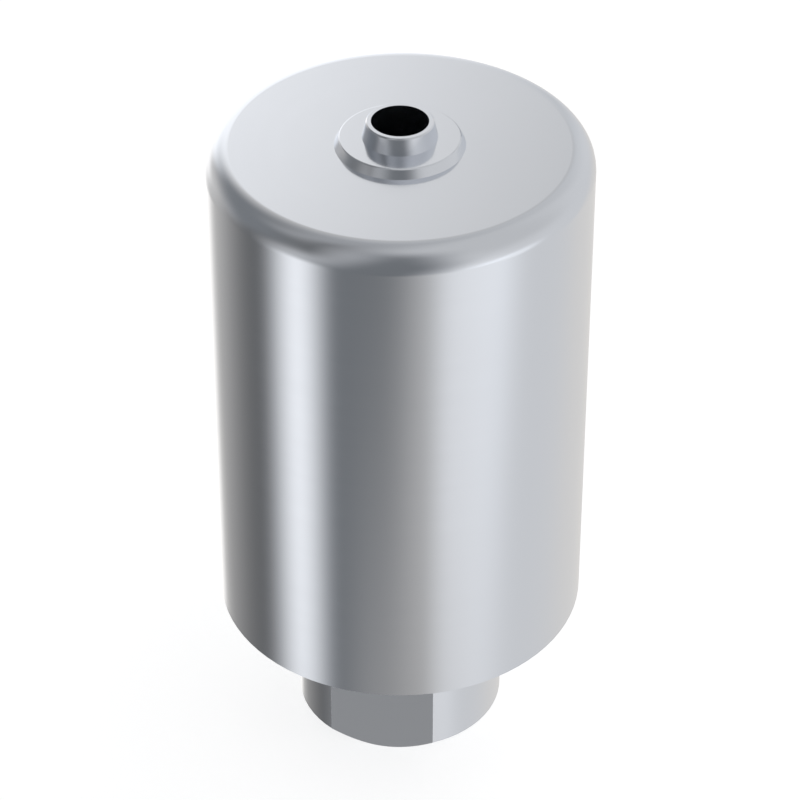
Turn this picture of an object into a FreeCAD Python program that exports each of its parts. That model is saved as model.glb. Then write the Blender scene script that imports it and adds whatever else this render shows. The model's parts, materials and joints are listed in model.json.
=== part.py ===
import FreeCAD, Part
import math
import os

# Dental abutment blank, turned from one bar of titanium alloy.
# Origin at the centre of the shank's end face, +Z towards the implant connection, -Y out of the flat.
# Sizes are in millimetres.

# Body, the part that is milled into an abutment
body_diameter = 14.0
body_length = 20.0
shoulder_radius = 0.9
body_edge_break = 0.05

# Shank, held by the milling machine's blank holder
shank_diameter = 8.0
shank_length = 5.9
end_chamfer = 0.55
flat_distance = 3.45  # from the axis to the indexing flat, which runs the shank's whole length

# Platform that rests on the implant
platform_base_diameter = 4.7
platform_top_diameter = 4.36  # before the upper edge is rounded
platform_height = 0.34
platform_edge_radius = 0.06

# Connection tube, which tapers into the implant
tube_base_diameter = 2.72
tube_height = 0.63
tube_taper_deg = 13.0
rim_chamfer = 0.05

# Screw channel through the whole blank
bore_diameter = 2.07
channel_diameter = 2.6
seat_depth = 2.4  # from the platform's top down to the screw head's seat
seat_angle_deg = 45.0
mouth_chamfer = 0.15

# Places that follow from the sizes
z_body = shank_length
z_shoulder = z_body + body_length
z_platform = z_shoulder + platform_height
z_rim = z_platform + tube_height
z_seat = z_platform - seat_depth

LEVEL = math.pi / 2.0  # angle at which an arc meets a top face


def radius(diameter):
    return diameter / 2.0


def taper_radius_at(height):
    """Radius of the connection tube at a height above the platform."""
    return radius(tube_base_diameter) - height * math.tan(math.radians(tube_taper_deg))


def straight_edges(points):
    """Edges that join (radius, height) points in the XZ plane."""
    corners = [FreeCAD.Vector(r, 0, z) for r, z in points]
    return [Part.makeLine(a, b) for a, b in zip(corners, corners[1:])]


def arc_point(centre, arc_radius, angle):
    """(radius, height) of a point on an arc; the angle starts at the outward direction."""
    return centre[0] + arc_radius * math.cos(angle), centre[1] + arc_radius * math.sin(angle)


def arc_edge(centre, arc_radius, first_angle):
    """Arc in the XZ plane from an angle up to where it lies level with a top face."""
    middle_angle = (first_angle + LEVEL) / 2.0
    points = [arc_point(centre, arc_radius, angle) for angle in (first_angle, middle_angle, LEVEL)]
    return Part.Arc(*[FreeCAD.Vector(r, 0, z) for r, z in points]).toShape()


def shoulder_centre():
    return radius(body_diameter) - shoulder_radius, z_shoulder - shoulder_radius


def platform_taper():
    """Angle of the platform's wall from the vertical."""
    return math.atan2(radius(platform_base_diameter) - radius(platform_top_diameter), platform_height)


def platform_edge_centre():
    """Centre of the arc that is tangent to the platform's wall and to its top."""
    reach = platform_edge_radius * math.tan((LEVEL - platform_taper()) / 2.0)
    return radius(platform_top_diameter) - reach, z_platform - platform_edge_radius


def shank_and_body_points():
    """Outline from the channel's mouth out along the shank and up the body's side."""
    shank_r = radius(shank_diameter)
    body_r = radius(body_diameter)
    return [
        (radius(channel_diameter) + mouth_chamfer, 0),
        (shank_r - end_chamfer, 0),
        (shank_r, end_chamfer),
        (shank_r, z_body),
        (body_r - body_edge_break, z_body),
        (body_r, z_body + body_edge_break),
        (body_r, z_shoulder - shoulder_radius),
    ]


def platform_points():
    """Outline over the body's top face and up the platform's wall."""
    return [
        (radius(body_diameter) - shoulder_radius, z_shoulder),
        (radius(platform_base_diameter), z_shoulder),
        arc_point(platform_edge_centre(), platform_edge_radius, platform_taper()),
    ]


def tube_points():
    """Outline over the platform's top and up the tube to its rim."""
    tube_edge_r = taper_radius_at(tube_height - rim_chamfer)
    return [
        (platform_edge_centre()[0], z_platform),
        (radius(tube_base_diameter), z_platform),
        (tube_edge_r, z_rim - rim_chamfer),
        (tube_edge_r - rim_chamfer, z_rim),
        (radius(bore_diameter), z_rim),
    ]


def channel_points():
    """Outline down the screw channel, past the seat, to the mouth in the end face."""
    bore_r = radius(bore_diameter)
    channel_r = radius(channel_diameter)
    seat_fall = (channel_r - bore_r) / math.tan(math.radians(seat_angle_deg))
    return [
        (bore_r, z_rim),
        (bore_r, z_seat),
        (channel_r, z_seat - seat_fall),
        (channel_r, mouth_chamfer),
        (channel_r + mouth_chamfer, 0),
    ]


def turned_blank():
    """The whole outline, turned round the Z axis."""
    edges = straight_edges(shank_and_body_points())
    edges.append(arc_edge(shoulder_centre(), shoulder_radius, 0.0))
    edges += straight_edges(platform_points())
    edges.append(arc_edge(platform_edge_centre(), platform_edge_radius, platform_taper()))
    edges += straight_edges(tube_points())
    edges += straight_edges(channel_points())
    section = Part.Face(Part.Wire(edges))
    return section.revolve(FreeCAD.Vector(0, 0, 0), FreeCAD.Vector(0, 0, 1), 360)


def flat_cutter():
    """Block that mills the indexing flat, on the shank's -Y side."""
    reach = radius(shank_diameter)
    corner = FreeCAD.Vector(-reach, -flat_distance - reach, -reach)
    return Part.makeBox(2 * reach, reach, z_body + reach, corner)


def abutment_blank():
    return turned_blank().cut(flat_cutter())


def export(name, shape):
    shape.exportStep(os.path.join("parts", name + ".step"))
    print(name, "volume", round(shape.Volume, 3), "solids", len(shape.Solids), "valid", shape.isValid())


os.makedirs("parts", exist_ok=True)
export("abutment_blank", abutment_blank())
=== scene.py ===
import json
import math
from collections import namedtuple

import bpy
from mathutils import Matrix, Vector


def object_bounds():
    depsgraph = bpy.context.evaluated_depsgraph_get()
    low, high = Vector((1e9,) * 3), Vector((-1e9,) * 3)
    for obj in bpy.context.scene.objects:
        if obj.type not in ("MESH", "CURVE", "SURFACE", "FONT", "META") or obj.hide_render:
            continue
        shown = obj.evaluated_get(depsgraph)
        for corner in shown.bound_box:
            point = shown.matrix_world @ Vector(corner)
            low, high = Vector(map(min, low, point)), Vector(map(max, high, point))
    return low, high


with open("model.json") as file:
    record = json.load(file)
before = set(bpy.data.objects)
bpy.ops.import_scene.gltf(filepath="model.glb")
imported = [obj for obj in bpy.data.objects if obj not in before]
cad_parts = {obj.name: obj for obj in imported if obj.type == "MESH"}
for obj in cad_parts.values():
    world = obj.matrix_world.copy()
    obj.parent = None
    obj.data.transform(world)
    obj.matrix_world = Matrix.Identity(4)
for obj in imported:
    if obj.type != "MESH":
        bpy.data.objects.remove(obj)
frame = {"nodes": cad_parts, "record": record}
cad_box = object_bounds()

MM = 0.001

# Camera, placed as the photo's own view was measured. Angles are in degrees.
CAMERA_AZIMUTH = 11.7  # round from the side of the flat, towards +X
CAMERA_PITCH = 36.87  # below the horizon
CAMERA_DISTANCE = 97.12 * MM  # from the part's axis
CAMERA_HEIGHT = 87.38 * MM
LENS = 145.2  # on the sensor's width, both in millimetres
SENSOR_WIDTH = 36.0
CLIP_START = 1 * MM
CLIP_END = 10.0

# Colours of the studio. A card's grey is multiplied by its tint, and a grey of 1 is the room's white.
WHITE = (1.0, 1.0, 1.0)
PLAIN = (1.0, 1.0, 1.0)
WARM = (1.03, 1.0, 0.96)
COOL = (0.96, 1.0, 1.04)

# Studio: a white room with soft boxes and grey cards in it, which the metal mirrors. The camera sees
# only the white. Places are in degrees as seen from the part: azimuth 0 is towards the camera and 90
# to its right, and soft is half the width of the soft edge. The body's side mirrors what lies about 37
# degrees below the horizon, the top face what lies as far above it at the back, and the shoulder what
# lies between. The rows were rounded from places fitted to the photo's bands.
Card = namedtuple("Card", "name azimuth elevation roll half_width half_height soft grey tint")
CARDS = [
    Card("far_left", -129, -24, 19, 29, 85, 11, 0.66, WARM),
    Card("left_dark", -89, -5, -10, 21, 55, 27, 0.15, PLAIN),
    Card("left_top_dark", -61, 48, 17, 14, 48, 37, 0.05, COOL),
    Card("front_dark", 7, 25, -26, 36, 108, 30, 0.195, COOL),
    Card("right", 103, -3, -71, 78, 55, 33, 0.705, PLAIN),
    Card("right_glint", 60, -25, -76, 1, 13, 20, 2.1, COOL),
    Card("back_left_bright", -164, 3, -8, 18, 31, 8, 1.35, PLAIN),
    Card("right_top", 80, 55, -14, 28, 39, 22, 0.60, PLAIN),
    Card("left_back_dark", -110, 33, -31, 37, 22, 20, 0.225, COOL),
    Card("back_grey", 167, 16, -9, 2, 21, 37, 0.30, COOL),
    Card("under_right", 115, -66, -48, 21, 63, 14, 0.725, WARM),
    Card("under_left_dark", -62, -73, -93, 10, 44, 28, 0.01, PLAIN),
    Card("right_low", 52, -31, 23, 25, 5, 11, 0.92, PLAIN),
    Card("back_left_low", -161, -17, -33, 17, 26, 10, 1.24, WARM),
    Card("left_low_strip", -63, -34, -18, 10, 15, 14, 1.10, PLAIN),
]

# Floor. Its glow is for the camera alone and brings the lit paint up to white.
FLOOR_PAINT = (0.65, 0.65, 0.65)
FLOOR_GLOW = 0.74
FLOOR_HALF = 2.0
FLOOR_DEPTH = 0.02 * MM
DARK_PLACE_HALF = 2.4 * MM  # wider than the channel's mouth, its corners still under the end face
DARK_PLACE_DEPTH = 0.01 * MM

# Sizes of the part that the frame doesn't give
SHOULDER_RADIUS = 0.9 * MM
BODY_EDGE_BREAK = 0.05 * MM
PLATFORM_HEIGHT = 0.34 * MM
PLATFORM_FOOT_RADIUS = 2.35 * MM
ALLOWANCE = 0.01 * MM  # keeps a face that lies on a limit wholly on one side of it

# Places on the part
mounts = {mount["name"]: Vector(mount["pos_m"]) for mount in frame["record"]["mounts"]}
flat_plane = mounts["indexing_flat"].y
body_underside = mounts["body_underside"].z
body_top = mounts["platform_seat"].z - PLATFORM_HEIGHT
body_radius = cad_box[1][0]

# Titanium alloy
TITANIUM = (0.78, 0.805, 0.855)
TITANIUM_DULL = (0.73, 0.755, 0.80)
# Lighter copy of the metal for the milled flat: painted light that brightens the flat's reflection
TITANIUM_FLAT_PAINTED_LIGHTER = (0.88, 0.905, 0.955)
TURNED_ROUGHNESS = 0.14
MILLED_ROUGHNESS = 0.40

# Marks in the finish: how many to the millimetre, and then how they show
FEED_RINGS = 22.0
SLOW_BANDS = 1.6
MILL_STROKES = 14.0
HANDLING_MARKS = 0.25
STROKE_SLANT = 0.3
DULL_SHARE = 0.25  # how far the handling marks turn the colour to the dull one
ROUGHNESS_SPREAD = 0.04
BUMP_STRENGTH = 0.05
BUMP_DEPTH = 0.002 * MM
NOISE_MEAN = 0.5


def direction(azimuth, elevation):
    """Unit vector; azimuth 0 points at the camera and 90 to its right, in degrees."""
    a = math.radians(azimuth + CAMERA_AZIMUTH)
    e = math.radians(elevation)
    return Vector((math.sin(a) * math.cos(e), -math.cos(a) * math.cos(e), math.sin(e)))


def card_axes(card):
    """Middle of a card and its width and height directions, seen from the object."""
    middle = direction(card.azimuth, card.elevation)
    level = direction(card.azimuth + 90, 0)
    upright = middle.cross(level)
    roll = math.radians(card.roll)
    across = level * math.cos(roll) + upright * math.sin(roll)
    along = upright * math.cos(roll) - level * math.sin(roll)
    return middle, across, along


def rgba(colour, strength=1.0):
    return (*(part * strength for part in colour), 1.0)


def pick(sockets, identifier):
    """A socket by its identifier, where several have the same name."""
    return next(socket for socket in sockets if socket.identifier == identifier)


class Graph:
    """Short calls for building a node tree."""

    MIX_TYPES = {"Color": "RGBA", "Vector": "VECTOR", "Float": "FLOAT"}

    def __init__(self, owner):
        owner.use_nodes = True
        self.tree = owner.node_tree
        self.tree.nodes.clear()

    def node(self, kind, **settings):
        made = self.tree.nodes.new(kind)
        for key, value in settings.items():
            setattr(made, key, value)
        return made

    def put(self, socket, value):
        """Links a socket into another, or sets a value on it."""
        if isinstance(value, bpy.types.NodeSocket):
            self.tree.links.new(value, socket)
        else:
            socket.default_value = value

    def math(self, operation, *values):
        made = self.node("ShaderNodeMath", operation=operation)
        for socket, value in zip(made.inputs, values):
            self.put(socket, value)
        return made.outputs[0]

    def dot(self, a, b):
        made = self.node("ShaderNodeVectorMath", operation="DOT_PRODUCT")
        self.put(made.inputs[0], a)
        self.put(made.inputs[1], b)
        return made.outputs["Value"]

    def fade(self, value, low, high):
        """1 up to low and 0 from high on, with a smooth change between them."""
        made = self.node("ShaderNodeMapRange", interpolation_type="SMOOTHERSTEP")
        given = {"Value": value, "From Min": low, "From Max": high, "To Min": 1.0, "To Max": 0.0}
        for name, number in given.items():
            self.put(made.inputs[name], number)
        return made.outputs["Result"]

    def mix(self, factor, a, b, kind="Color"):
        """a where the factor is 0 and b where it is 1."""
        made = self.node("ShaderNodeMix", data_type=self.MIX_TYPES[kind])
        for name, value in (("Factor_Float", factor), ("A_" + kind, a), ("B_" + kind, b)):
            self.put(pick(made.inputs, name), value)
        return pick(made.outputs, "Result_" + kind)

    def noise(self, vector, scale, detail, kind="3D"):
        made = self.node("ShaderNodeTexNoise", noise_dimensions=kind)
        self.put(made.inputs["W" if kind == "1D" else "Vector"], vector)
        self.put(made.inputs["Scale"], scale)
        self.put(made.inputs["Detail"], detail)
        return made.outputs[0]


def card_cover(g, ray, card):
    """How much of a card lies in each direction, 0 to 1. Its long side runs round the sky."""
    middle, across, along = card_axes(card)
    if card.half_height > card.half_width:
        short_way, short_half = across, card.half_width
        long_way, long_half = along, card.half_height
    else:
        short_way, short_half = along, card.half_height
        long_way, long_half = across, card.half_width
    off = g.math("ARCSINE", g.dot(ray, short_way))
    round_sky = g.math("ARCTAN2", g.dot(ray, long_way), g.dot(ray, middle))
    edges = []
    for angle, half in ((off, short_half), (round_sky, long_half)):
        low = math.radians(half - card.soft)
        high = math.radians(half + card.soft)
        edges.append(g.fade(g.math("ABSOLUTE", angle), low, high))
    return g.math("MULTIPLY", *edges)


def build_world():
    """White room with the cards in it, each laid over those before it."""
    world = bpy.data.worlds.new("studio")
    bpy.context.scene.world = world
    g = Graph(world)
    ray = g.node("ShaderNodeTexCoord").outputs["Generated"]
    colour = rgba(WHITE)
    for card in CARDS:
        colour = g.mix(card_cover(g, ray, card), colour, rgba(card.tint, card.grey))
        colour.node.label = card.name
    seen = g.node("ShaderNodeLightPath").outputs["Is Camera Ray"]
    back = g.node("ShaderNodeBackground")
    g.put(back.inputs["Color"], g.mix(seen, colour, rgba(WHITE)))
    back.inputs["Strength"].default_value = 1.0
    out = g.node("ShaderNodeOutputWorld")
    g.put(out.inputs["Surface"], back.outputs[0])


def beyond(g, value, limit):
    """How far a value lies beyond a limit, or 0."""
    return g.math("MAXIMUM", g.math("SUBTRACT", value, limit), 0.0)


def turned_normal(g, x, y, z, radius):
    """True direction of the body's side, shoulder and top face, smoother than the mesh's own."""
    outward = g.math("DIVIDE", beyond(g, radius, body_radius - SHOULDER_RADIUS), radius)
    upward = beyond(g, z, body_top - SHOULDER_RADIUS)
    local = g.node("ShaderNodeCombineXYZ")
    g.put(local.inputs["X"], g.math("MULTIPLY", x, outward))
    g.put(local.inputs["Y"], g.math("MULTIPLY", y, outward))
    g.put(local.inputs["Z"], upward)
    turn = g.node("ShaderNodeVectorTransform", vector_type="VECTOR")
    turn.convert_from = "OBJECT"
    turn.convert_to = "WORLD"
    g.put(turn.inputs[0], local.outputs[0])
    past_platform = g.math("GREATER_THAN", radius, PLATFORM_FOOT_RADIUS + ALLOWANCE)
    above_edge = g.math("GREATER_THAN", z, body_underside + BODY_EDGE_BREAK + ALLOWANCE)
    on_body = g.math("MULTIPLY", past_platform, above_edge)
    own = g.node("ShaderNodeNewGeometry").outputs["Normal"]
    chosen = g.node("ShaderNodeVectorMath", operation="NORMALIZE")
    g.put(chosen.inputs[0], g.mix(on_body, own, turn.outputs[0], kind="Vector"))
    return chosen.outputs[0]


def in_millimetres(g, length):
    """Fine marks need this, because a noise takes no scale over 1000."""
    return g.math("MULTIPLY", length, 1 / MM)


def titanium():
    """Fine-turned metal with a milled flat."""
    material = bpy.data.materials.new("titanium")
    g = Graph(material)
    place = g.node("ShaderNodeTexCoord").outputs["Object"]
    split = g.node("ShaderNodeSeparateXYZ")
    g.put(split.inputs[0], place)
    x, y, z = split.outputs
    radius = g.math("SQRT", g.math("ADD", g.math("MULTIPLY", x, x), g.math("MULTIPLY", y, y)))
    past_flat = g.math("LESS_THAN", y, flat_plane + ALLOWANCE)
    on_flat = g.math("MULTIPLY", past_flat, g.math("LESS_THAN", z, body_underside - ALLOWANCE))

    # rings that follow the profile, on walls and faces alike, and slanting strokes on the flat
    along = in_millimetres(g, g.math("ADD", z, radius))
    feed = g.noise(along, FEED_RINGS, detail=1.0, kind="1D")
    bands = g.noise(along, SLOW_BANDS, detail=2.0, kind="1D")
    slanting = in_millimetres(g, g.math("ADD", x, g.math("MULTIPLY", z, STROKE_SLANT)))
    strokes = g.noise(slanting, MILL_STROKES, detail=1.0, kind="1D")
    handled = g.noise(place, HANDLING_MARKS / MM, detail=3.0)

    shader = g.node("ShaderNodeBsdfPrincipled")
    shader.inputs["Metallic"].default_value = 1.0
    uneven = g.math("SUBTRACT", g.math("ADD", bands, handled), 2 * NOISE_MEAN)
    finish = g.mix(on_flat, TURNED_ROUGHNESS, MILLED_ROUGHNESS, kind="Float")
    g.put(shader.inputs["Roughness"], g.math("ADD", finish, g.math("MULTIPLY", uneven, ROUGHNESS_SPREAD)))
    turned = g.mix(g.math("MULTIPLY", handled, DULL_SHARE), rgba(TITANIUM), rgba(TITANIUM_DULL))
    # the flat takes the lighter copy of the metal, a painted brightening of its reflection
    g.put(shader.inputs["Base Color"], g.mix(on_flat, turned, rgba(TITANIUM_FLAT_PAINTED_LIGHTER)))

    bump = g.node("ShaderNodeBump")
    bump.inputs["Strength"].default_value = BUMP_STRENGTH
    bump.inputs["Distance"].default_value = BUMP_DEPTH
    g.put(bump.inputs["Height"], g.mix(on_flat, feed, strokes, kind="Float"))
    g.put(bump.inputs["Normal"], turned_normal(g, x, y, z, radius))
    g.put(shader.inputs["Normal"], bump.outputs["Normal"])
    out = g.node("ShaderNodeOutputMaterial")
    g.put(out.inputs["Surface"], shader.outputs[0])
    return material


def floor_paint(glow):
    """White paint; with a glow for the camera it shows as white as the room does."""
    material = bpy.data.materials.new("floor")
    g = Graph(material)
    paint = g.node("ShaderNodeBsdfDiffuse")
    paint.inputs["Color"].default_value = rgba(FLOOR_PAINT)
    shine = g.node("ShaderNodeEmission")
    seen = g.node("ShaderNodeLightPath").outputs["Is Camera Ray"]
    g.put(shine.inputs["Strength"], g.math("MULTIPLY", seen, glow))
    both = g.node("ShaderNodeAddShader")
    g.put(both.inputs[0], paint.outputs[0])
    g.put(both.inputs[1], shine.outputs[0])
    out = g.node("ShaderNodeOutputMaterial")
    g.put(out.inputs["Surface"], both.outputs[0])
    return material


def ground(name, half, depth, glow):
    """Square of floor round the part's axis, a little below the part."""
    mesh = bpy.data.meshes.new(name)
    corners = [(-half, -half, 0), (half, -half, 0), (half, half, 0), (-half, half, 0)]
    mesh.from_pydata(corners, [], [(0, 1, 2, 3)])
    piece = bpy.data.objects.new(name, mesh)
    bpy.context.scene.collection.objects.link(piece)
    piece.location.z = -depth
    piece.data.materials.append(floor_paint(glow))
    return piece


def build_floor():
    """Floor that the metal doesn't mirror, and its dark place under the part, which closes the channel."""
    floor = ground("floor", FLOOR_HALF, FLOOR_DEPTH, FLOOR_GLOW)
    floor.visible_glossy = False
    ground("floor_under_part", DARK_PLACE_HALF, DARK_PLACE_DEPTH, 0.0)


def build_camera():
    data = bpy.data.cameras.new("camera")
    data.lens = LENS
    data.sensor_width = SENSOR_WIDTH
    data.clip_start = CLIP_START
    data.clip_end = CLIP_END
    camera = bpy.data.objects.new("camera", data)
    bpy.context.scene.collection.objects.link(camera)
    turn = math.radians(CAMERA_AZIMUTH)
    place = Vector((math.sin(turn), -math.cos(turn), 0)) * CAMERA_DISTANCE
    place.z = CAMERA_HEIGHT
    aim = Matrix.Rotation(turn, 4, "Z") @ Matrix.Rotation(math.radians(90 - CAMERA_PITCH), 4, "X")
    camera.matrix_world = Matrix.Translation(place) @ aim
    bpy.context.scene.camera = camera


def dress():
    """The CAD node keeps its mesh and gets the metal."""
    node = frame["nodes"]["abutment_blank"]
    node.data.materials.clear()
    node.data.materials.append(titanium())


bpy.context.scene.view_settings.view_transform = "Standard"
build_world()
build_floor()
build_camera()
dress()
